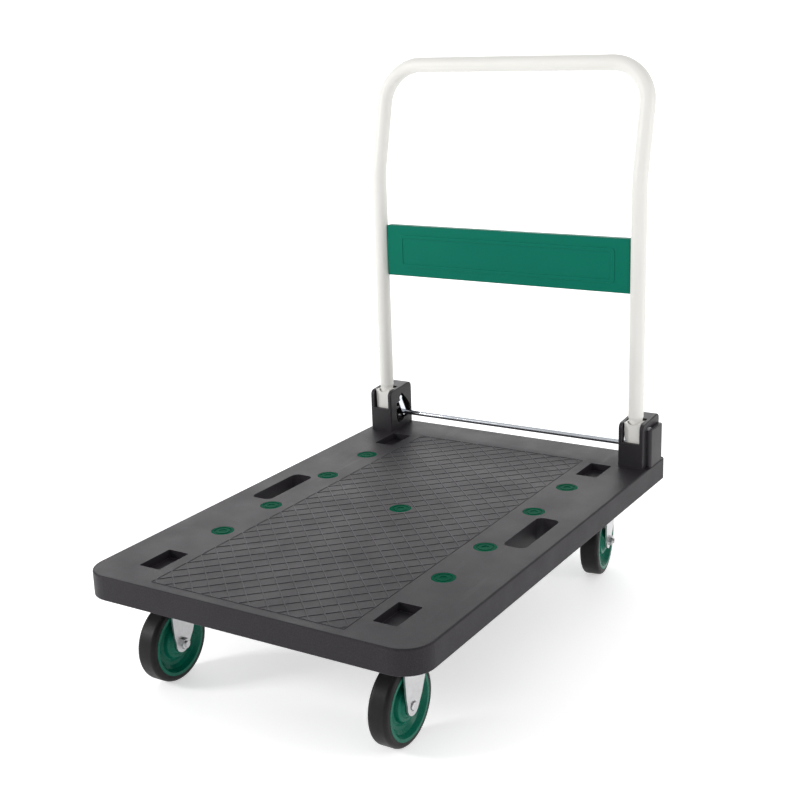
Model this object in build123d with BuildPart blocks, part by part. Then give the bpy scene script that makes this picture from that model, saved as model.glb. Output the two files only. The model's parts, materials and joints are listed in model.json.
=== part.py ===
from build123d import *
import os
from math import cos, radians, sin

# Folding platform cart. Millimetres, +Z up, +Y towards the handle, X across the deck.
# The origin is on the ground, under the middle of the deck.

os.makedirs("parts", exist_ok=True)

# ---------------------------------------------------------------- driving dimensions
deck_length = 915.0
deck_width = 610.0
deck_depth = 40.0
deck_top = 204.0
deck_bottom = deck_top - deck_depth
deck_skin = 6.0
deck_skirt = 5.5
front_corner_radius = 47.0
rear_corner_radius = 9.0

slot_inner_x, slot_outer_x = 229.5, 270.5
slot_half_length = 68.0
slot_corner_radius = 12.0

pocket_x, pocket_width, pocket_length, pocket_depth = 216.5, 41.0, 71.5, 14.0
front_pocket_y, rear_pocket_y = -361.0, 327.0

cap_radius = 19.5
cap_x = 211.0
cap_rows_y = (-221.4, -87.5, 87.5, 221.4)

wheel_radius = 65.0
tyre_width = 34.0
rim_radius = 54.5
axle_radius = 5.0
sleeve_radius = 6.5
leg_inner, leg_outer = 19.7, 22.7
front_wheel_x, front_wheel_y = 214.5, -361.0
swivel_x, swivel_y = 214.0, 373.0
swivel_trail = 34.0
swivel_yaw = 8.9

plate_width, plate_length, plate_thickness = 84.0, 124.0, 3.0
front_plate_y = -365.0
plate_bolt_x, plate_bolt_y = 30.5, 50.0
plate_bolt_radius = 4.0

housing_in, housing_out = 246.0, 294.0
housing_front, housing_rear = 370.0, 451.0
housing_front_height, housing_rear_height = 82.0, 88.0
housing_sill = 46.0
pad_sink = 1.0
cover_out, cover_front, cover_rear, cover_height = 303.6, 386.0, 446.0, 70.0

tube_radius, tube_wall = 14.0, 1.8
tube_x, tube_y = 270.0, 395.0
tube_bend_z = deck_top + 520.0
tube_top_y, tube_top_z = 442.0, 926.0
tube_bend_radius, tube_corner_radius = 100.0, 72.0
spigot_radius = 12.4
pivot_z = deck_top + 66.0
pivot_radius = 5.0

panel_z0, panel_z1 = 523.5, 623.0
panel_half = tube_x - tube_radius - 0.2
panel_face_y = tube_y - 3.0
panel_sheet, panel_flange = 1.5, 15.0
rivet_y = tube_y + 3.5

lever_y, lever_z = 409.0, deck_top + 62.0
bar_y, bar_z, bar_radius = 427.0, deck_top + 27.0, 5.0
lever_in, lever_out = 250.0, 253.5
lever_pin_radius = 3.0

running = 0.05
sides = {"left": -1, "right": 1}


# ---------------------------------------------------------------- shared helpers
def block(x0, x1, y0, y1, z0, z1, mode=Mode.ADD):
    """A box between two corners."""
    with Locations(((x0 + x1) / 2, (y0 + y1) / 2, (z0 + z1) / 2)):
        Box(abs(x1 - x0), abs(y1 - y0), abs(z1 - z0), mode=mode)


def rod(centre, radius, length, rotation=(0, 0, 0), mode=Mode.ADD):
    """A cylinder centred on a point: along Z, or along X with rotation (0, 90, 0)."""
    with Locations(Location(centre, rotation)):
        Cylinder(radius, length, mode=mode)


def save(builder, name):
    builder.part.label = name
    export_step(builder.part, f"parts/{name}.step")


def caster_plane(x, y, yaw=0.0):
    """The frame of a caster on the ground: its own X runs along the axle."""
    turn = radians(yaw)
    return Plane(origin=(x, y, 0), x_dir=(cos(turn), sin(turn), 0), z_dir=(0, 0, 1))


def side_plane(frame, offset):
    """The plane across the axle at a distance from the frame's middle: sketch X runs back, Y up."""
    origin = frame.from_local_coords(Vector(offset, 0, 0))
    return Plane(origin=origin, x_dir=frame.y_dir, z_dir=frame.x_dir)


def across(frame, along, height, start, end, radius, mode=Mode.ADD):
    """A round bar along the axle's direction between two distances from the frame's middle."""
    centre = frame.from_local_coords(Vector((start + end) / 2, along, height))
    with Locations(Plane(origin=centre, z_dir=frame.x_dir).location):
        Cylinder(radius, abs(end - start), mode=mode)


def turned(frame, along, height, outline):
    """A closed outline of (along the axle, radius) points, revolved about the wheel's axle."""
    centre = frame.from_local_coords(Vector(0, along, height))
    with BuildPart() as ring:
        with BuildSketch(Plane(origin=centre, x_dir=frame.x_dir, z_dir=frame.y_dir)):
            with BuildLine():
                Polyline(*outline, close=True)
            make_face()
        revolve(axis=Axis(centre, frame.x_dir))
    return ring.part


# ---------------------------------------------------------------- platform deck
def deck_plan(shrink=0.0):
    """The deck seen from above: wide round corners in front, nearly square ones at the handle."""
    with BuildSketch() as plan:
        Rectangle(deck_width - 2 * shrink, deck_length - 2 * shrink)
        corners = plan.vertices().group_by(Axis.Y)
        fillet(corners[0], front_corner_radius - shrink)
        fillet(plan.vertices().group_by(Axis.Y)[-1], rear_corner_radius - shrink)
    return plan.sketch


caster_pads = [(side * front_wheel_x, front_plate_y) for side in (-1, 1)]
caster_pads += [(side * swivel_x, swivel_y) for side in (-1, 1)]
pockets = [(side * pocket_x, y) for side in (-1, 1) for y in (front_pocket_y, rear_pocket_y)]
slots = [(side * (slot_inner_x + slot_outer_x) / 2, 0) for side in (-1, 1)]
caps = [(side * cap_x, y) for side in (-1, 1) for y in cap_rows_y] + [(0, 0)]
bracket_bolts_y = (389.0, 436.0)
bracket_bolts = [(side * tube_x, y) for side in (-1, 1) for y in bracket_bolts_y]
slot_width = slot_outer_x - slot_inner_x
boss_radius, boss_length, stem_hole = 12.0, 24.0, 6.3
insert_radius, insert_length = 6.5, 15.0
cap_recess = 2.6

with BuildPart() as deck:
    with BuildSketch(Plane.XY.offset(deck_bottom)):
        add(deck_plan())
    extrude(amount=deck_depth)
    fillet(deck.faces().sort_by(Axis.Z)[-1].edges(), 3.0)
    with BuildSketch(Plane.XY.offset(deck_bottom)):
        add(deck_plan(deck_skirt))
    extrude(amount=deck_depth - deck_skin, mode=Mode.SUBTRACT)
    # ribs under the skin, a little shallower than the skirt
    rib, rib_bottom = 4.0, deck_bottom + 6.0
    inner_w, inner_l = deck_width - 2 * deck_skirt, deck_length - 2 * deck_skirt
    rib_height = deck_top - deck_skin - rib_bottom
    with Locations((0, 0, rib_bottom + rib_height / 2)):
        with GridLocations(100.0, 0, 5, 1):
            Box(rib, inner_l, rib_height)
        with GridLocations(0, 98.0, 1, 7):
            Box(inner_w, rib, rib_height)
    # solid pads for the casters and brackets, walls round the slots, bosses under the caps
    with BuildSketch(Plane.XY.offset(deck_bottom)):
        with Locations(*caster_pads):
            Rectangle(plate_width + 8, plate_length + 8)
        with Locations(*[(side * 272.0, 410.0) for side in (-1, 1)]):
            Rectangle(62, 90)
        with Locations(*slots):
            RectangleRounded(slot_width + 8, 2 * slot_half_length + 8, slot_corner_radius + 4)
    extrude(amount=deck_depth - deck_skin)
    with BuildSketch(Plane.XY.offset(deck_top - pocket_depth - 4)):
        with Locations(*pockets):
            Rectangle(pocket_width + 8, pocket_length + 8)
    extrude(amount=pocket_depth)
    with BuildSketch(Plane.XY.offset(deck_top - deck_skin - boss_length)):
        with Locations(*caps):
            Circle(boss_radius)
    extrude(amount=boss_length)
    # openings and recesses
    with BuildSketch(Plane.XY.offset(deck_bottom)):
        with Locations(*slots):
            RectangleRounded(slot_width, 2 * slot_half_length, slot_corner_radius)
    extrude(amount=deck_depth, mode=Mode.SUBTRACT)
    with BuildSketch(Plane.XY.offset(deck_top - pocket_depth)):
        with Locations(*pockets):
            RectangleRounded(pocket_width, pocket_length, 3.0)
    extrude(amount=pocket_depth, mode=Mode.SUBTRACT)
    with BuildSketch(Plane.XY.offset(deck_top - cap_recess)):
        with Locations(*caps):
            Circle(cap_radius)
    extrude(amount=cap_recess, mode=Mode.SUBTRACT)
    with BuildSketch(Plane.XY.offset(deck_top - deck_skin - boss_length)):
        with Locations(*caps):
            Circle(stem_hole)
    extrude(amount=deck_skin + boss_length, mode=Mode.SUBTRACT)
    for side in (-1, 1):
        block(side * (housing_in - 0.5), side * (deck_width / 2 + 1), housing_front - 0.5, housing_rear + 0.5,
              deck_top - pad_sink, deck_top, mode=Mode.SUBTRACT)
    # bores for the threaded inserts and the bracket bolts
    with BuildSketch(Plane.XY.offset(deck_bottom)):
        for x, y in caster_pads:
            with Locations((x, y)):
                with GridLocations(2 * plate_bolt_x, 2 * plate_bolt_y, 2, 2):
                    Circle(insert_radius + running)
    extrude(amount=insert_length + 1, mode=Mode.SUBTRACT)
    with BuildSketch(Plane.XY.offset(deck_bottom)):
        with Locations(*bracket_bolts):
            Circle(5.3)
    extrude(amount=deck_depth, mode=Mode.SUBTRACT)
save(deck, "platform_deck")

cap_top = deck_top - 0.2
cap_thickness = 2.3
with BuildPart() as snap_caps:
    with BuildSketch(Plane.XY.offset(cap_top - cap_thickness)):
        with Locations(*caps):
            Circle(cap_radius - 0.2)
    extrude(amount=cap_thickness)
    chamfer(snap_caps.faces().group_by(Axis.Z)[-1].edges(), 0.5)
    # a ring groove and a shallow dish in each face
    with BuildSketch(Plane.XY.offset(cap_top)):
        with Locations(*caps):
            Circle(15.0)
            Circle(11.5, mode=Mode.SUBTRACT)
            Circle(6.5)
    extrude(amount=-1.0, mode=Mode.SUBTRACT)
    with BuildSketch(Plane.XY.offset(cap_top - cap_thickness - 14)):
        with Locations(*caps):
            Circle(stem_hole - 0.3)
    extrude(amount=14)
save(snap_caps, "snap_caps")


# ---------------------------------------------------------------- handle brackets
wall_in, wall_out, roof = 3.5, 4.5, 4.0
cavity_in, cavity_out = housing_in + wall_in, housing_out - wall_out
foot_half = 14.5
window_half = foot_half + 2.5
base_z = deck_top - pad_sink
floor_z = deck_top + 8.0
boss_outer, boss_step = 5.4, 1.5
pivot_end = housing_in + 1.8


def sloped_block(side, x0, x1, y0, y1, z0, drop):
    """A block under the housing's roof line, which rises towards the back."""
    slope = (housing_rear_height - housing_front_height) / (housing_rear - housing_front)
    left = min(side * x0, side * x1)
    with BuildPart() as solid:
        with BuildSketch(Plane(origin=(left, 0, 0), x_dir=(0, 1, 0), z_dir=(1, 0, 0))):
            with BuildLine():
                front_z, rear_z = (deck_top + housing_front_height - drop + slope * (y - housing_front)
                                   for y in (y0, y1))
                Polyline((y0, z0), (y0, front_z), (y1, rear_z), (y1, z0), close=True)
            make_face()
        extrude(amount=x1 - x0)
    return solid.part


def lever_window():
    """The opening that shows the latch lever, with the boss that carries its pin left standing."""
    with BuildSketch() as window:
        with BuildLine():
            Polyline((-4, -6), (-16, -7), (-18, -14), (-18, -40), (-12, -52), (3, -50), (12, -45),
                     (27, -43.5), (36, -37), (37, -29), (33, -20), (20, -5), (8, 7), (2, 9.5), (-0.5, 4),
                     close=True)
        make_face()
        fillet(window.vertices().sort_by(Axis.Y)[:7], 2.0)
        Circle(boss_outer, mode=Mode.SUBTRACT)
    return window.sketch


def bracket_housing(side):
    """The moulded box that holds the handle's foot, open above the sill in front."""
    with BuildPart() as housing:
        add(sloped_block(side, housing_in, housing_out, housing_front, housing_rear, base_z, 0))
        across = housing.edges().filter_by(Axis.X).sort_by(Axis.Z)[-2:]
        fillet(across.sort_by(Axis.Y)[0], 10.0)
        fillet(across.sort_by(Axis.Y)[-1], 10.0)
        fillet(housing.edges().filter_by(Axis.Z), 2.0)
        add(sloped_block(side, cavity_in, cavity_out, housing_front + 5, housing_rear - 4, floor_z, roof),
            mode=Mode.SUBTRACT)
        block(side * (tube_x - window_half), side * (tube_x + window_half),
              housing_front - 1, tube_y + tube_radius + 1.5,
              deck_top + housing_sill, deck_top + housing_rear_height + 1, mode=Mode.SUBTRACT)
        window_x = min(side * (housing_in - 1), side * (cavity_in + 1))
        with BuildSketch(Plane(origin=(window_x, lever_y, lever_z), x_dir=(0, 1, 0), z_dir=(1, 0, 0))):
            add(lever_window())
        extrude(amount=wall_in + 2, mode=Mode.SUBTRACT)
        rod((side * housing_in, lever_y, lever_z), boss_outer, 2 * boss_step, (0, 90, 0), Mode.SUBTRACT)
        # the pivot's bore is blind: it stops inside the inner wall
        rod((side * (pivot_end - 0.3 + 30), tube_y, pivot_z), pivot_radius + running, 60, (0, 90, 0),
            Mode.SUBTRACT)
        rod((side * (housing_in + 2), lever_y, lever_z), lever_pin_radius + running, 8, (0, 90, 0),
            Mode.SUBTRACT)
        for y in bracket_bolts_y:
            rod((side * tube_x, y, floor_z), 5.3, 24, mode=Mode.SUBTRACT)
    return housing


def bracket_cover(side):
    """The low cap on the outer face, over the pivot pin's head."""
    with BuildPart() as cover:
        block(side * housing_out, side * cover_out, cover_front, cover_rear, base_z, deck_top + cover_height)
        outer = cover.faces().sort_by(Axis.X)[-1 if side > 0 else 0]
        upright = outer.edges().filter_by(Axis.Z)
        fillet(upright, 6.0)
        top = cover.faces().sort_by(Axis.Z)[-1]
        fillet(top.edges(), 1.5)
        rod((side * (housing_out + 2), tube_y, pivot_z), 8.3, 4.2, (0, 90, 0), Mode.SUBTRACT)
    return cover


for name, side in sides.items():
    save(bracket_housing(side), f"{name}_bracket_housing")
    save(bracket_cover(side), f"{name}_bracket_cover")
    with BuildPart() as pivot_pin:
        pin_in, pin_out = pivot_end, housing_out
        rod((side * (pin_in + pin_out) / 2, tube_y, pivot_z), pivot_radius, pin_out - pin_in, (0, 90, 0))
        rod((side * (housing_out + 1.9), tube_y, pivot_z), 8.0, 3.8, (0, 90, 0))
    save(pivot_pin, f"{name}_pivot_pin")

bolt_head, nut_height = 6.4, 8.0
with BuildPart() as bolts:
    with BuildSketch(Plane.XY.offset(deck_bottom - bolt_head)):
        with Locations(*bracket_bolts):
            RegularPolygon(8.0, 6, major_radius=False)
    extrude(amount=bolt_head)
    with BuildSketch(Plane.XY.offset(deck_bottom)):
        with Locations(*bracket_bolts):
            Circle(5.0)
    extrude(amount=floor_z + nut_height + 2 - deck_bottom)
save(bolts, "bracket_bolts")

with BuildPart() as nuts:
    with BuildSketch(Plane.XY.offset(floor_z)):
        with Locations(*bracket_bolts):
            RegularPolygon(8.0, 6, major_radius=False)
            Circle(5.0 + running, mode=Mode.SUBTRACT)
    extrude(amount=nut_height)
save(nuts, "bracket_nuts")

foot_front = tube_y - 16.5
with BuildPart() as stops:
    for side in (-1, 1):
        block(side * (tube_x - 11), side * (tube_x + 11), housing_front + 5, foot_front - 0.3,
              deck_top + 30, deck_top + housing_sill - 1)
save(stops, "handle_stops")

with BuildPart() as lever_pins:
    for side in (-1, 1):
        rod((side * (housing_in + 4.6), lever_y, lever_z), lever_pin_radius, 6.8, (0, 90, 0))
        rod((side * (housing_in + 0.9), lever_y, lever_z), boss_outer - 0.9, 1.2, (0, 90, 0))
save(lever_pins, "lever_pins")

spring_z, spring_y0, spring_y1 = deck_top + 41.0, housing_front + 5.4, 411.2
spring_radius, spring_wire, spring_turns = 1.9, 0.4, 9
with BuildPart() as springs:
    for side in (-1, 1):
        start = (side * (cavity_in + 2.6), spring_y0 + spring_wire, spring_z)
        pitch = (spring_y1 - spring_y0 - 2 * spring_wire) / spring_turns
        coil = Helix(pitch, pitch * spring_turns, spring_radius, center=start, direction=(0, 1, 0))
        with BuildSketch(Plane(origin=coil @ 0, z_dir=coil % 0)):
            Circle(spring_wire)
        sweep(path=coil)
save(springs, "latch_springs")


# ---------------------------------------------------------------- folding handle
def tube_path():
    """One leg up, back over the bend, across the top and down again."""
    FilletPolyline(
        (tube_x, tube_y, deck_top + 92), (tube_x, tube_y, tube_bend_z), (tube_x, tube_top_y, tube_top_z),
        (-tube_x, tube_top_y, tube_top_z), (-tube_x, tube_y, tube_bend_z), (-tube_x, tube_y, deck_top + 92),
        radius=[tube_bend_radius, tube_corner_radius, tube_corner_radius, tube_bend_radius],
    )


foot_top, foot_bottom = deck_top + 83.0, deck_top + 44.0
with BuildPart() as tube:
    with BuildLine() as route:
        tube_path()
    with BuildSketch(Plane(origin=(tube_x, tube_y, deck_top + 92), z_dir=(0, 0, 1))):
        Circle(tube_radius)
        Circle(tube_radius - tube_wall, mode=Mode.SUBTRACT)
    sweep(path=route.line)
    for side in (-1, 1):
        with BuildSketch(Plane(origin=(side * tube_x, tube_y, 0), x_dir=(1, 0, 0), z_dir=(0, -1, 0))):
            with BuildLine():
                Polyline(
                    (spigot_radius, foot_bottom + 2), (spigot_radius, deck_top + 86),
                    (tube_radius, deck_top + 92), (tube_radius - tube_wall, deck_top + 92),
                    (spigot_radius - tube_wall, deck_top + 86),
                    (spigot_radius - tube_wall, foot_bottom + 2), close=True,
                )
            make_face()
        revolve(axis=Axis((side * tube_x, tube_y, 0), (0, 0, 1)))
    for side in (-1, 1):
        rod((side * tube_x, tube_y, pivot_z), pivot_radius + running, 40, (0, 90, 0), Mode.SUBTRACT)
save(tube, "handle_tube")


def handle_foot(side):
    """A channel round the tube's end: a front plate and two cheeks, open at the back."""
    sheet, back = 2.0, tube_y + 14.5
    with BuildPart() as foot:
        block(side * (tube_x - foot_half), side * (tube_x + foot_half), foot_front, back,
              foot_bottom, foot_top)
        fillet(foot.edges().filter_by(Axis.X).group_by(Axis.Y)[-1], 9.0)
        block(side * (tube_x - foot_half + sheet), side * (tube_x + foot_half - sheet),
              foot_front + sheet, back + 1, foot_bottom - 1, foot_top + 1, mode=Mode.SUBTRACT)
        # the front plate is a little wider than the cheeks, most of all at its top
        with BuildSketch(Plane(origin=(side * tube_x, foot_front + sheet, 0), x_dir=(1, 0, 0), z_dir=(0, -1, 0))):
            with BuildLine():
                Polyline((-foot_half - 0.2, foot_bottom), (foot_half + 0.2, foot_bottom),
                         (foot_half + 1.6, foot_top), (-foot_half - 1.6, foot_top), close=True)
            make_face()
        extrude(amount=sheet)
        front_face = foot.faces().filter_by(Axis.Y).sort_by(Axis.Y)[0]
        fillet(front_face.edges(), 0.8)
        with Locations(Location((side * tube_x, foot_front, foot_top + 8), (90, 0, 0))):
            Cylinder(13.0, 12, mode=Mode.SUBTRACT)
        rod((side * tube_x, tube_y, pivot_z), pivot_radius + running, 40, (0, 90, 0), Mode.SUBTRACT)
    return foot


for name, side in sides.items():
    save(handle_foot(side), f"{name}_handle_foot")

with BuildPart() as washers:
    for side in (-1, 1):
        for start, end in ((cavity_in + 0.4, tube_x - foot_half), (tube_x + foot_half, cavity_out - 0.4)):
            middle = side * (start + end) / 2
            rod((middle, tube_y, pivot_z), 6.8, end - start, (0, 90, 0))
            rod((middle, tube_y, pivot_z), pivot_radius + running, end - start, (0, 90, 0), Mode.SUBTRACT)
save(washers, "pivot_washers")

bead_half_x, bead_half_z, bead_width, bead_rise = 226.0, 32.0, 7.0, 1.2
panel_mid = (panel_z0 + panel_z1) / 2
with BuildPart() as panel:
    block(-panel_half, panel_half, panel_face_y, panel_face_y + panel_flange, panel_z0, panel_z1)
    fillet(panel.faces().sort_by(Axis.Y)[0].edges(), 3.0)
    block(-panel_half + panel_sheet, panel_half - panel_sheet, panel_face_y + panel_sheet,
          panel_face_y + panel_flange + 1, panel_z0 + panel_sheet, panel_z1 - panel_sheet, mode=Mode.SUBTRACT)
    for side in (-1, 1):
        for z in (panel_z0, panel_z1):
            block(side * (panel_half - 3.2), side * (panel_half + 1), panel_face_y + 1.8,
                  panel_face_y + panel_flange + 1, z - 3.2, z + 3.2, mode=Mode.SUBTRACT)
    with BuildSketch(Plane(origin=(0, panel_face_y, panel_mid), x_dir=(1, 0, 0), z_dir=(0, -1, 0))):
        RectangleRounded(2 * bead_half_x, 2 * bead_half_z, 7)
        RectangleRounded(2 * (bead_half_x - bead_width), 2 * (bead_half_z - bead_width), 3, mode=Mode.SUBTRACT)
    extrude(amount=bead_rise, taper=30)
    for side in (-1, 1):
        for z in (panel_z0 + 25, panel_z1 - 25):
            rod((side * panel_half, rivet_y, z), 2.5, 8, (0, 90, 0), Mode.SUBTRACT)
save(panel, "handle_panel")

with BuildPart() as rivets:
    for side in (-1, 1):
        for z in (panel_z0 + 25, panel_z1 - 25):
            rod((side * (panel_half - panel_sheet - 0.8), rivet_y, z), 4.2, 1.6, (0, 90, 0))
            rod((side * (panel_half - 0.75), rivet_y, z), 2.4, 1.5, (0, 90, 0))
save(rivets, "panel_rivets")

# ---------------------------------------------------------------- release bar
with BuildPart() as bar:
    rod((0, bar_y, bar_z), bar_radius, 2 * lever_in, (0, 90, 0))
save(bar, "release_bar")


def latch_lever(side):
    """A flat lever from its pin down to the bar, with a short pawl that points at the foot."""
    hub_radius, eye_radius, pawl = 6.0, 6.5, (-2.5, 9.0)
    near = side * lever_in if side > 0 else side * lever_out
    plane = Plane(origin=(near, lever_y, lever_z), x_dir=(0, 1, 0), z_dir=(1, 0, 0))
    with BuildPart() as lever:
        with BuildSketch(plane):
            Circle(hub_radius)
            with Locations((bar_y - lever_y, bar_z - lever_z)):
                Circle(eye_radius)
            make_hull()
        extrude(amount=lever_out - lever_in)
        with BuildSketch(plane):
            Circle(hub_radius - 2)
            with Locations(pawl):
                Circle(2.2)
            make_hull()
        extrude(amount=lever_out - lever_in)
        with BuildSketch(plane):
            Circle(lever_pin_radius + running)
        extrude(amount=lever_out - lever_in, mode=Mode.SUBTRACT)
    return lever


for name, side in sides.items():
    save(latch_lever(side), f"{name}_latch_lever")


# ---------------------------------------------------------------- casters
def wheel(name, frame, along):
    """Tyre, hub and bushes about an axle that lies across the frame at this distance along it."""
    half = tyre_width / 2
    flange_x, seat = half - 3.0, rim_radius - 2.6
    with BuildPart() as tyre:
        add(turned(frame, along, wheel_radius, [
            (-half, rim_radius + 0.2), (-half, wheel_radius), (half, wheel_radius), (half, rim_radius + 0.2),
            (flange_x, rim_radius + 0.2), (flange_x, seat), (-flange_x, seat), (-flange_x, rim_radius + 0.2),
        ]))
        shoulders = tyre.edges().filter_by(GeomType.CIRCLE).group_by(SortBy.RADIUS)[-1]
        fillet(shoulders, 7.0)
    save(tyre, f"{name}_tyre")
    right = [(half + 0.4, rim_radius), (half + 0.4, 49.5), (10.0, 45.0), (6.0, 39.5), (5.0, 34.0),
             (7.0, 29.0), (12.4, 26.6), (13.4, 25.4), (13.8, 21.0), (17.0, 18.2), (18.3, 17.0), (18.3, 8.0)]
    step = [(flange_x, rim_radius), (flange_x, seat)]
    outline = step[::-1] + right
    with BuildPart() as hub:
        add(turned(frame, along, wheel_radius, outline + [(-x, r) for x, r in outline[::-1]]))
    save(hub, f"{name}_hub")
    with BuildPart() as bushes:
        for end in (-1, 1):
            add(turned(frame, along, wheel_radius, [
                (end * 4.0, sleeve_radius + running), (end * 4.0, 7.97), (end * 18.3, 7.97),
                (end * 18.3, 11.0), (end * 19.3, 11.0), (end * 19.3, sleeve_radius + running),
            ]))
    save(bushes, f"{name}_bushes")


def fork_legs(frame, points, along):
    """Two pressed legs, mirrored about the wheel, each an outline that ends round the axle."""
    toe_radius = 15.0
    with BuildPart() as legs:
        for start in (-leg_outer, leg_inner):
            with BuildSketch(side_plane(frame, start)):
                with BuildLine():
                    Polyline(*points, close=True)
                make_face()
                with Locations((along, wheel_radius)):
                    Circle(toe_radius)
            extrude(amount=leg_outer - leg_inner)
    return legs.part


def axle_hole(frame, along):
    across(frame, along, wheel_radius, -leg_outer - 1, leg_outer + 1, axle_radius + 0.1, Mode.SUBTRACT)


def hexagon(frame, along, start, thickness, flat_radius, hole=0.0):
    """A hexagonal nut or bolt head on the axle."""
    with BuildPart() as nut:
        with BuildSketch(side_plane(frame, start)):
            with Locations((along, wheel_radius)):
                RegularPolygon(flat_radius, 6, major_radius=False)
                if hole:
                    Circle(hole, mode=Mode.SUBTRACT)
        extrude(amount=thickness)
    return nut.part


def top_plate(x, y):
    """A caster's flat top plate, with a hole for each bolt."""
    with BuildPart() as flat:
        with BuildSketch(Plane.XY.offset(deck_bottom - plate_thickness)):
            with Locations((x, y)):
                RectangleRounded(plate_width, plate_length, 8)
                with GridLocations(2 * plate_bolt_x, 2 * plate_bolt_y, 2, 2):
                    Circle(plate_bolt_radius + 0.3, mode=Mode.SUBTRACT)
        extrude(amount=plate_thickness)
    return flat.part


axle_half = leg_outer
head_radius, head_height = 6.6, 4.2
nut_flat, axle_nut_height, thread_end = 8.0, 7.0, 33.0
plate_z = deck_bottom - plate_thickness
front_frames = {name: caster_plane(side * front_wheel_x, front_wheel_y) for name, side in sides.items()}
swivel_frames = {name: caster_plane(side * swivel_x, swivel_y, swivel_yaw) for name, side in sides.items()}

# rigid casters in front: the outer leg faces out, so the head end is on that side
rigid_leg = [(-20.0, plate_z), (-20.0, 112.0), (-18.0, 82.0), (-12.5, 58.0), (12.8, 57.0), (25.0, 76.0),
             (34.5, 98.0), (46.0, plate_z)]
head_dimple, dimple_depth = 8.3, 1.2
for name, side in sides.items():
    frame = front_frames[name]
    with BuildPart() as plate:
        add(top_plate(side * front_wheel_x, front_plate_y))
    save(plate, f"front_{name}_caster_plate")
    with BuildPart() as fork:
        add(fork_legs(frame, rigid_leg, 0.0))
        with BuildSketch(Plane.XY.offset(plate_z - 3)):
            with Locations((side * front_wheel_x, front_wheel_y + 13)):
                Rectangle(2 * leg_inner, 66)
        extrude(amount=3)
        axle_hole(frame, 0.0)
        across(frame, 0.0, wheel_radius, side * leg_outer + dimple_depth, side * leg_outer - dimple_depth,
               head_dimple, Mode.SUBTRACT)
    save(fork, f"front_{name}_fork")
    wheel(f"front_{name}", frame, 0.0)

with BuildPart() as axles:
    for name, side in sides.items():
        frame = front_frames[name]
        across(frame, 0, wheel_radius, -thread_end if side > 0 else -axle_half,
               axle_half if side > 0 else thread_end, axle_radius)
        head_start = axle_half - dimple_depth if side > 0 else -axle_half + dimple_depth - head_height
        across(frame, 0, wheel_radius, head_start, head_start + head_height, head_radius)
        rim_edges = axles.faces().filter_by(Axis.X).sort_by(Axis.X)[-1 if side > 0 else 0].edges()
        fillet(rim_edges, 1.6)
save(axles, "front_axle_bolts")

with BuildPart() as axle_nuts:
    for name, side in sides.items():
        start = -axle_half - axle_nut_height if side > 0 else axle_half
        add(hexagon(front_frames[name], 0, start, axle_nut_height, nut_flat, axle_radius + running))
save(axle_nuts, "front_axle_nuts")

with BuildPart() as sleeves:
    for frame in front_frames.values():
        across(frame, 0, wheel_radius, -leg_inner, leg_inner, sleeve_radius)
        across(frame, 0, wheel_radius, -leg_inner, leg_inner, axle_radius + running, Mode.SUBTRACT)
save(sleeves, "front_axle_sleeves")

# swivel casters at the handle end
crown_top, crown_thickness = 151.0, 4.0
crown_radius, race_outer, race_inner, race_roof = 27.0, 31.0, 28.0, 157.3
kingpin_radius, kingpin_head = 6.0, 11.0
ball_ring_radius, ball_radius, ball_count = 20.0, 3.0, 12
back = -swivel_trail
swivel_leg = [(back - 18.0, crown_top), (back - 16.5, 78.0), (back - 12.5, 58.0), (back + 12.8, 57.0),
              (4.0, 92.0), (28.0, 132.0), (28.0, crown_top)]
for name, side in sides.items():
    frame = swivel_frames[name]
    x, y = side * swivel_x, swivel_y
    with BuildPart() as plate:
        add(top_plate(x, y))
        rod((x, y, (plate_z + race_roof) / 2), race_outer, plate_z - race_roof)
        with BuildSketch(Plane.XY.offset(crown_top + 2.6)):
            with Locations((x, y)):
                Circle(race_outer)
                Circle(race_inner, mode=Mode.SUBTRACT)
        extrude(amount=race_roof - crown_top - 2.6)
        rod((x, y, plate_z), kingpin_radius + 0.02, 20, mode=Mode.SUBTRACT)
    save(plate, f"rear_{name}_caster_plate")
    with BuildPart() as fork:
        add(fork_legs(frame, swivel_leg, back))
        with BuildSketch(Plane.XY.offset(crown_top - crown_thickness)):
            with Locations((x, y)):
                Circle(crown_radius)
        extrude(amount=crown_thickness)
        with BuildSketch(Plane(origin=(x, y, crown_top - crown_thickness), x_dir=frame.x_dir)):
            with Locations((0, (back - 18 + 28) / 2)):
                Rectangle(2 * leg_outer, 28 - back + 18)
        extrude(amount=crown_thickness)
        rod((x, y, crown_top), kingpin_radius + running, 20, mode=Mode.SUBTRACT)
        axle_hole(frame, back)
    save(fork, f"rear_{name}_fork")
    with BuildPart() as balls:
        with Locations((x, y, crown_top + ball_radius)):
            with PolarLocations(ball_ring_radius, ball_count):
                Sphere(ball_radius)
    save(balls, f"rear_{name}_ball_ring")
    wheel(f"rear_{name}", frame, back)
    with BuildPart() as axle:
        start, end = (-axle_half, thread_end) if side > 0 else (-thread_end, axle_half)
        across(frame, back, wheel_radius, start, end, axle_radius)
        add(hexagon(frame, back, -axle_half - 6 if side > 0 else axle_half, 6, nut_flat))
    save(axle, f"rear_{name}_axle_bolt")
    with BuildPart() as nut:
        start = axle_half if side > 0 else -axle_half - axle_nut_height
        add(hexagon(frame, back, start, axle_nut_height, nut_flat, axle_radius + running))
    save(nut, f"rear_{name}_axle_nut")
    with BuildPart() as sleeve:
        across(frame, back, wheel_radius, -leg_inner, leg_inner, sleeve_radius)
        across(frame, back, wheel_radius, -leg_inner, leg_inner, axle_radius + running, Mode.SUBTRACT)
    save(sleeve, f"rear_{name}_axle_sleeve")

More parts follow.
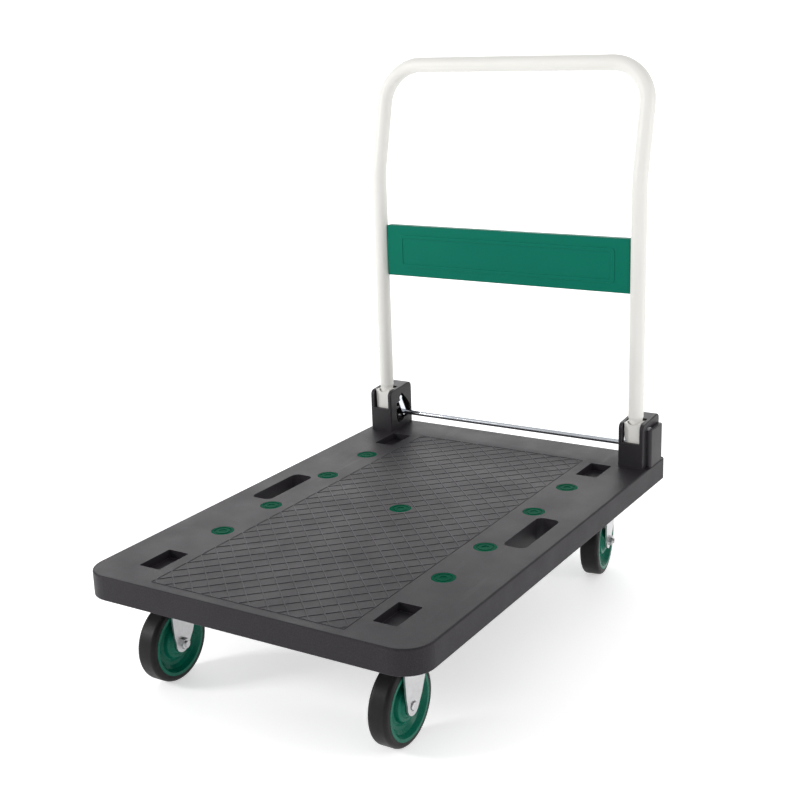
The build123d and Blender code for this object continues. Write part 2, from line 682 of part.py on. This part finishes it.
with BuildPart() as kingpins:
    for side in (-1, 1):
        x, y = side * swivel_x, swivel_y
        pin_bottom, crown_bottom = 141.0, crown_top - crown_thickness
        rod((x, y, (pin_bottom + deck_bottom - 0.5) / 2), kingpin_radius, deck_bottom - 0.5 - pin_bottom)
        rod((x, y, (pin_bottom + crown_bottom - 0.5) / 2), kingpin_head, crown_bottom - 0.5 - pin_bottom)
save(kingpins, "rear_kingpins")

with BuildPart() as caster_bolts:
    with BuildSketch(Plane.XY.offset(plate_z - 5.5)):
        for x, y in caster_pads:
            with Locations((x, y)):
                with GridLocations(2 * plate_bolt_x, 2 * plate_bolt_y, 2, 2):
                    RegularPolygon(6.5, 6, major_radius=False)
    extrude(amount=5.5)
    with BuildSketch(Plane.XY.offset(plate_z)):
        for x, y in caster_pads:
            with Locations((x, y)):
                with GridLocations(2 * plate_bolt_x, 2 * plate_bolt_y, 2, 2):
                    Circle(plate_bolt_radius)
    extrude(amount=plate_thickness + insert_length - 2)
save(caster_bolts, "caster_bolts")

with BuildPart() as inserts:
    with BuildSketch(Plane.XY.offset(deck_bottom)):
        for x, y in caster_pads:
            with Locations((x, y)):
                with GridLocations(2 * plate_bolt_x, 2 * plate_bolt_y, 2, 2):
                    Circle(insert_radius)
                    Circle(plate_bolt_radius + running, mode=Mode.SUBTRACT)
    extrude(amount=insert_length)
save(inserts, "caster_inserts")
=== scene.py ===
import json
from math import cos, radians, sin

import bmesh
import bpy
from mathutils import Matrix, Vector


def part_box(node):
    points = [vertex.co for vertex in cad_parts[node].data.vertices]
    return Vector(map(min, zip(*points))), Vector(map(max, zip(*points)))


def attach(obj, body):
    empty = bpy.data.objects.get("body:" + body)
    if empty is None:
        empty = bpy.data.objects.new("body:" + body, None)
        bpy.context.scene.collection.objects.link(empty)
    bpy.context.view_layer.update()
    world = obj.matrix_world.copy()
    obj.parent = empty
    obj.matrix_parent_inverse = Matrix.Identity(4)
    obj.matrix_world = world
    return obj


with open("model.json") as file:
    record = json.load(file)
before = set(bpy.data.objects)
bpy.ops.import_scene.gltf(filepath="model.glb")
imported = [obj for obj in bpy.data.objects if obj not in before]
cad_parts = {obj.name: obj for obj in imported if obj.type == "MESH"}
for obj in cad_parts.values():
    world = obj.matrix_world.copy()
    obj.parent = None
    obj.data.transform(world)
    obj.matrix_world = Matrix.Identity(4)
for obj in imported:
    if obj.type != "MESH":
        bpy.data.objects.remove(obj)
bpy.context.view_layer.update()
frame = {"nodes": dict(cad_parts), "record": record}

scene = bpy.context.scene
nodes = frame["nodes"]
materials = {}


# ---------------------------------------------------------------- material helpers
class Surface:
    """A node material whose colour, roughness and bump are built up in layers.

    Every pattern is laid over the object's own coordinates, in metres.
    """

    def __init__(self, name, colour, roughness, **fixed):
        """Other sockets of the shader are given by name, with _ for each space."""
        self.name = name
        self.material = bpy.data.materials.new(name)
        self.material.use_nodes = True
        self.tree = self.material.node_tree
        self.shader = self.tree.nodes["Principled BSDF"]
        self.coordinates = self.tree.nodes.new("ShaderNodeTexCoord").outputs["Object"]
        self.colour = self.rgba(colour)
        self.roughness = roughness
        self.normal = None
        self.material.diffuse_color = self.rgba(colour)
        for socket, value in fixed.items():
            self.shader.inputs[socket.replace("_", " ")].default_value = value

    def rgba(self, colour):
        return (*colour, 1.0)

    def node(self, kind, **values):
        made = self.tree.nodes.new(kind)
        for key, value in values.items():
            setattr(made, key, value)
        return made

    def feed(self, socket, value):
        """Links an output to a socket, or sets the socket's own value."""
        if isinstance(value, bpy.types.NodeSocket):
            self.tree.links.new(value, socket)
        else:
            socket.default_value = value

    def product(self, a, b):
        made = self.node("ShaderNodeMath", operation="MULTIPLY")
        self.feed(made.inputs[0], a)
        self.feed(made.inputs[1], b)
        return made.outputs[0]

    def noise(self, scale, detail=3.0, rough=0.5, stretch=(1, 1, 1), turn=(0, 0, 0)):
        """Soft noise from about 0.3 to 0.7; scale is in cells per metre."""
        place = self.node("ShaderNodeMapping")
        place.inputs["Scale"].default_value = stretch
        place.inputs["Rotation"].default_value = turn
        self.tree.links.new(self.coordinates, place.inputs["Vector"])
        made = self.node("ShaderNodeTexNoise")
        self.tree.links.new(place.outputs["Vector"], made.inputs["Vector"])
        made.inputs["Scale"].default_value = scale
        made.inputs["Detail"].default_value = detail
        made.inputs["Roughness"].default_value = rough
        return made.outputs["Fac"]

    def cells(self, scale):
        """Distance from the nearest of a cloud of points; scale is in cells per metre."""
        made = self.node("ShaderNodeTexVoronoi")
        self.tree.links.new(self.coordinates, made.inputs["Vector"])
        made.inputs["Scale"].default_value = scale
        return made.outputs["Distance"]

    def span(self, value, low, high, to_low=0.0, to_high=1.0, smooth=False):
        """Rescales a value from one range to another, clamped."""
        made = self.node("ShaderNodeMapRange")
        made.interpolation_type = "SMOOTHSTEP" if smooth else "LINEAR"
        self.feed(made.inputs["Value"], value)
        made.inputs["From Min"].default_value = low
        made.inputs["From Max"].default_value = high
        made.inputs["To Min"].default_value = to_low
        made.inputs["To Max"].default_value = to_high
        return made.outputs["Result"]

    def tint(self, mask, colour):
        """Mixes another colour in, by a mask from 0 to 1."""
        made = self.node("ShaderNodeMix", data_type="RGBA")
        self.feed(made.inputs[0], mask)
        self.feed(made.inputs[6], self.colour)
        self.feed(made.inputs[7], self.rgba(colour))
        self.colour = made.outputs[2]

    def mottle(self, pattern, low, high, amount, colour):
        """Mixes another colour in where a pattern runs from low to high."""
        self.tint(self.span(pattern, low, high, 0.0, amount), colour)

    def vary_roughness(self, mask, to):
        """Moves the roughness towards another value, by a mask."""
        made = self.node("ShaderNodeMix", data_type="FLOAT")
        self.feed(made.inputs[0], mask)
        self.feed(made.inputs[2], self.roughness)
        self.feed(made.inputs[3], to)
        self.roughness = made.outputs[0]

    def bump(self, height, depth, strength=1.0):
        """Raises the surface by a height map; depth is in metres."""
        made = self.node("ShaderNodeBump")
        made.inputs["Strength"].default_value = strength
        made.inputs["Distance"].default_value = depth
        self.feed(made.inputs["Height"], height)
        if self.normal is not None:
            self.feed(made.inputs["Normal"], self.normal)
        self.normal = made.outputs["Normal"]

    def edge(self, radius):
        """A mask that is 1 along sharp edges."""
        rounded = self.node("ShaderNodeBevel", samples=6)
        rounded.inputs["Radius"].default_value = radius
        plain = self.node("ShaderNodeNewGeometry")
        dot = self.node("ShaderNodeVectorMath", operation="DOT_PRODUCT")
        self.tree.links.new(rounded.outputs["Normal"], dot.inputs[0])
        self.tree.links.new(plain.outputs["Normal"], dot.inputs[1])
        return self.span(dot.outputs["Value"], 0.995, 0.86, smooth=True)

    def facing_up(self):
        """A mask that is 1 on faces that look up."""
        plain = self.node("ShaderNodeNewGeometry")
        split = self.node("ShaderNodeSeparateXYZ")
        self.tree.links.new(plain.outputs["Normal"], split.inputs[0])
        return self.span(split.outputs["Z"], 0.2, 0.9, smooth=True)

    def done(self):
        """Wires up the shader and files the material under its own name."""
        self.feed(self.shader.inputs["Base Color"], self.colour)
        self.feed(self.shader.inputs["Roughness"], self.roughness)
        if self.normal is not None:
            self.feed(self.shader.inputs["Normal"], self.normal)
        materials[self.name] = self.material


def scaled(colour, factor, lift=0.0):
    """A darker or lighter shade of a colour."""
    return tuple(min(1.0, channel * factor + lift) for channel in colour)


# ---------------------------------------------------------------- kinds of material
# Lighter edge colour for moulded plastic: part rubbed wear, part painted highlight.
RUBBED_AND_HIGHLIT_PLASTIC = (0.11, 0.105, 0.115)


def moulded_plastic(name, colour, roughness, grain, shine):
    """Textured polypropylene: fine spark-eroded grain, faint flow marks, scuffs on what faces up, and
    lighter edges that are part rubbed wear, part painted highlight.
    """
    light = scaled(colour, 1.6, 0.006)
    dark = scaled(colour, 0.72)
    s = Surface(name, colour, roughness, Specular_IOR_Level=shine)
    s.mottle(s.noise(7.0, 4.0, 0.6), 0.35, 0.7, 0.2, dark)
    s.mottle(s.noise(700.0, 2.0, 0.6), 0.42, 0.68, 0.6, light)
    streaks = s.noise(38.0, 6.0, 0.7, stretch=(1, 0.08, 1), turn=(0, 0, 0.5))
    scuffs = s.product(s.span(streaks, 0.6, 0.72), s.facing_up())
    s.tint(s.product(scuffs, 0.15), light)
    # Painted highlight and wear: sharp edges tinted lighter.
    s.tint(s.product(s.edge(0.0014), 0.7), RUBBED_AND_HIGHLIT_PLASTIC)
    s.vary_roughness(s.span(s.noise(16.0, 5.0, 0.6), 0.35, 0.7), roughness + 0.07)
    s.vary_roughness(scuffs, roughness - 0.04)
    s.bump(s.noise(700.0, 3.0, 0.65), grain)
    s.bump(s.noise(11.0, 2.0, 0.5), 0.0003, 0.35)
    s.done()


def enamel(name, colour, roughness, worn_highlit_edge, shine, coat):
    """Powder-coated steel: orange-peel surface, dust-fine speckle and thin lighter edges that are part
    rubbed wear, part painted highlight.
    """
    dark = scaled(colour, 0.86)
    s = Surface(name, colour, roughness, Specular_IOR_Level=shine, Coat_Weight=coat, Coat_Roughness=0.12)
    s.mottle(s.noise(5.0, 4.0, 0.6), 0.4, 0.68, 0.3, dark)
    s.mottle(s.noise(2200.0, 1.0, 0.5), 0.6, 0.75, 0.35, dark)
    # Painted highlight and wear: sharp edges tinted lighter.
    s.tint(s.product(s.edge(0.0008), 0.35), worn_highlit_edge)
    s.vary_roughness(s.span(s.noise(23.0, 5.0, 0.6), 0.4, 0.7), roughness + 0.12)
    s.bump(s.noise(420.0, 2.0, 0.5), 0.00006, 0.6)
    s.bump(s.noise(60.0, 2.0, 0.5), 0.0002, 0.15)
    s.done()


def gloss_plastic(name, colour, roughness, shine=0.5, coat=0.0):
    """Smooth moulded plastic: cloudy colour, uneven gloss and faintly lighter edges, a painted
    highlight.
    """
    dark = scaled(colour, 0.6)
    light = scaled(colour, 1.3, 0.02)
    s = Surface(name, colour, roughness, Specular_IOR_Level=shine, Coat_Weight=coat, Coat_Roughness=0.2)
    s.mottle(s.noise(40.0, 3.0, 0.6), 0.4, 0.7, 0.35, dark)
    # Painted highlight: sharp edges tinted lighter.
    s.tint(s.product(s.edge(0.0007), 0.4), light)
    s.vary_roughness(s.span(s.noise(120.0, 4.0, 0.65), 0.4, 0.7), roughness + 0.15)
    s.bump(s.noise(500.0, 2.0, 0.5), 0.00004, 0.6)
    s.done()


def steel(name, colour, roughness, stretch=(1, 1, 0.05), grain=700.0, spangle=0.3):
    """Zinc-plated or bright steel with a drawn grain and cloudy patches."""
    dark = scaled(colour, 0.7)
    s = Surface(name, colour, roughness, Metallic=1.0)
    s.mottle(s.noise(90.0, 5.0, 0.7), 0.4, 0.65, spangle, dark)
    s.mottle(s.cells(260.0), 0.1, 0.9, spangle * 0.5, dark)
    s.vary_roughness(s.span(s.noise(grain, 3.0, 0.6, stretch), 0.35, 0.65), roughness + 0.12)
    s.bump(s.noise(grain, 3.0, 0.6, stretch), 0.00002, 0.5)
    s.done()


def rubber(name, colour, roughness):
    """Dull rubber with dusty patches and a fine grain."""
    dusty = scaled(colour, 1.8, 0.01)
    s = Surface(name, colour, roughness, Specular_IOR_Level=0.2)
    s.mottle(s.noise(30.0, 6.0, 0.7), 0.5, 0.75, 0.35, dusty)
    s.mottle(s.noise(900.0, 2.0, 0.5), 0.55, 0.75, 0.3, dusty)
    s.vary_roughness(s.span(s.noise(45.0, 4.0, 0.6), 0.4, 0.7), roughness + 0.15)
    s.bump(s.noise(1100.0, 3.0, 0.6), 0.00005, 0.7)
    s.done()


# ---------------------------------------------------------------- the materials of the cart
moulded_plastic("deck_plastic", (0.0185, 0.0162, 0.0195), 0.45, grain=0.00007, shine=0.17)
moulded_plastic("bracket_plastic", (0.0190, 0.0170, 0.0195), 0.42, grain=0.00004, shine=0.28)
gloss_plastic("green_cap", (0.0010, 0.085, 0.046), 0.36, shine=0.0, coat=0.05)
enamel("green_enamel", (0.003, 0.160, 0.105), 0.40, worn_highlit_edge=(0.03, 0.30, 0.21), shine=0.05, coat=0.0)
enamel("white_enamel", (0.79, 0.78, 0.745), 0.38, worn_highlit_edge=(0.88, 0.87, 0.85), shine=0.3, coat=0.05)
steel("chrome", (0.72, 0.75, 0.80), 0.10, stretch=(0.05, 1, 1), grain=900.0, spangle=0.12)
steel("zinc", (0.66, 0.66, 0.67), 0.32)
steel("spring_steel", (0.45, 0.45, 0.46), 0.25)
gloss_plastic("nylon", (0.68, 0.67, 0.62), 0.42)
rubber("tyre_rubber", (0.0065, 0.0058, 0.0060), 0.42)
rubber("black_rubber", (0.018, 0.018, 0.018), 0.6)
gloss_plastic("green_hub", (0.001, 0.120, 0.075), 0.26, shine=0.16)

for row in frame["record"]["subparts"]:
    mesh = nodes[row["node"]].data
    mesh.materials.clear()
    mesh.materials.append(materials[row["material_slot"]])


# ---------------------------------------------------------------- deck lattice
LATTICE_HALF_WIDTH = 0.176
LATTICE_FRONT_Y = -0.4375
LATTICE_REAR_Y = 0.370
DIAMOND_X = 0.0352
DIAMOND_Y = 0.0355
RIB_WIDTH = 0.0018
RIB_HEIGHT = 0.00065
RIB_SINK = 0.0006
RIB_BEVEL = 0.0008
CAP_CLEARING = 0.0215
CLEARING_SIDES = 12
CLEARING_REACH = 0.06
SAME_POINT = 1e-5


def lattice_net(z):
    """A flat net of crossed diagonal ribs inside a rectangle, with a rib round its border."""
    net = bmesh.new()
    corners = [(-LATTICE_HALF_WIDTH, LATTICE_FRONT_Y), (LATTICE_HALF_WIDTH, LATTICE_FRONT_Y),
               (LATTICE_HALF_WIDTH, LATTICE_REAR_Y), (-LATTICE_HALF_WIDTH, LATTICE_REAR_Y)]
    net.faces.new([net.verts.new((x, y, z)) for x, y in corners])
    farthest_y = max(-LATTICE_FRONT_Y, LATTICE_REAR_Y)
    reach = int(LATTICE_HALF_WIDTH / DIAMOND_X + farthest_y / DIAMOND_Y) + 1
    for slope in (1, -1):
        for line in range(-reach, reach + 1):
            everything = net.verts[:] + net.edges[:] + net.faces[:]
            bmesh.ops.bisect_plane(net, geom=everything, dist=SAME_POINT,
                                   plane_co=(0, line * DIAMOND_Y, z),
                                   plane_no=(DIAMOND_Y, slope * DIAMOND_X, 0))
    diamonds = net.faces[:]
    bmesh.ops.inset_individual(net, faces=diamonds, thickness=RIB_WIDTH / 2, use_even_offset=True)
    bmesh.ops.delete(net, geom=diamonds, context="FACES_ONLY")
    clear_round_cap(net, z)
    return net


def clear_round_cap(net, z):
    """Stops the ribs at a small round clearing for the middle cap."""
    turn_step = 360 / CLEARING_SIDES
    for side in range(CLEARING_SIDES):
        turn = radians(turn_step * (side + 0.5))
        outward = Vector((cos(turn), sin(turn), 0))
        near = [f for f in net.faces if f.calc_center_median().xy.length < CLEARING_REACH]
        around = dict.fromkeys(near)
        for face in near:
            around.update(dict.fromkeys(face.verts))
            around.update(dict.fromkeys(face.edges))
        bmesh.ops.bisect_plane(net, geom=list(around), dist=SAME_POINT,
                               plane_co=Vector((0, 0, z)) + outward * CAP_CLEARING, plane_no=outward)
    inside = [f for f in net.faces if f.calc_center_median().xy.length < CAP_CLEARING * 1.01]
    bmesh.ops.delete(net, geom=inside, context="FACES")


deck_low, deck_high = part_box("platform_deck")
net = lattice_net(deck_high.z + RIB_HEIGHT)
net_mesh = bpy.data.meshes.new("deck_lattice")
net.to_mesh(net_mesh)
net.free()
net_mesh.materials.append(materials["deck_plastic"])
lattice = bpy.data.objects.new("deck_lattice", net_mesh)
scene.collection.objects.link(lattice)
thicken = lattice.modifiers.new("thickness", "SOLIDIFY")
thicken.thickness = RIB_HEIGHT + RIB_SINK
thicken.offset = -1.0
soften = lattice.modifiers.new("soft_edges", "BEVEL")
soften.width = RIB_BEVEL
soften.segments = 1
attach(lattice, "base")


# ---------------------------------------------------------------- floor and light
STAGE_SIZE = 60.0
STAGE_TURN = 32


def studio_paper():
    """Matt white paper that glows a little, so that it stays pale behind and below the cart."""
    white = (0.90, 0.90, 0.90)
    s = Surface("studio_paper", white, 0.7, Specular_IOR_Level=0.1,
                Emission_Color=(1.0, 1.0, 1.0, 1.0), Emission_Strength=0.50)
    s.mottle(s.noise(3.0, 3.0, 0.5), 0.4, 0.7, 0.03, scaled(white, 0.97))
    s.done()


studio_paper()
for name, place, tilt in (("floor", (0, 0, -0.0005), 0), ("backdrop", (-14, 23, 10), 90)):
    bpy.ops.mesh.primitive_plane_add(size=STAGE_SIZE, location=place,
                                     rotation=(radians(tilt), 0, radians(STAGE_TURN)))
    sheet = bpy.context.object
    sheet.name = name
    sheet.data.materials.append(materials["studio_paper"])

world = bpy.data.worlds.new("studio")
scene.world = world
world.use_nodes = True
background = world.node_tree.nodes["Background"]
background.inputs["Color"].default_value = (1.0, 1.0, 1.0, 1.0)
background.inputs["Strength"].default_value = 0.6


def area_light(name, place, target, size, power):
    """A rectangular soft light that faces its target."""
    light = bpy.data.lights.new(name, "AREA")
    light.shape = "RECTANGLE"
    light.size, light.size_y = size
    light.energy = power
    holder = bpy.data.objects.new(name, light)
    scene.collection.objects.link(holder)
    holder.location = place
    holder.rotation_euler = (Vector(target) - Vector(place)).to_track_quat("-Z", "Y").to_euler()


area_light("key", place=(-3.0, -2.8, 2.0), target=(0, 0, 0.25), size=(1.0, 1.0), power=85.0)
area_light("back", place=(-4.4, 7.0, 3.2), target=(0, 0, 0.2), size=(8.0, 2.6), power=125.0)
area_light("right", place=(4.2, 0.6, 1.6), target=(0, 0.3, 0.5), size=(1.4, 1.4), power=40.0)

scene.view_settings.view_transform = "Standard"
scene.view_settings.look = "None"


# ---------------------------------------------------------------- camera
SENSOR_WIDTH = 36.0
IMAGE_WIDTH = 800.0


def camera(azimuth, elevation, roll, target, distance, focal_pixels):
    """A camera that looks at a point from a distance, turned a little about its own axis."""
    a, e, r = radians(azimuth), radians(elevation), radians(roll)
    back = Vector((sin(a) * cos(e), -cos(a) * cos(e), sin(e)))
    right = Vector((cos(a), sin(a), 0))
    up = back.cross(right)
    turned_right = right * cos(r) + up * sin(r)
    turned_up = up * cos(r) - right * sin(r)
    data = bpy.data.cameras.new("camera")
    data.sensor_width = SENSOR_WIDTH
    data.lens = focal_pixels * SENSOR_WIDTH / IMAGE_WIDTH
    holder = bpy.data.objects.new("camera", data)
    scene.collection.objects.link(holder)
    axes = Matrix((turned_right, turned_up, back)).transposed().to_4x4()
    axes.translation = Vector(target) + back * distance
    holder.matrix_world = axes
    return holder


scene.camera = camera(azimuth=31.956, elevation=16.014, roll=-1.955,
                      target=(-0.351812, 0.574776, 0.204), distance=2.921781, focal_pixels=1323.522)
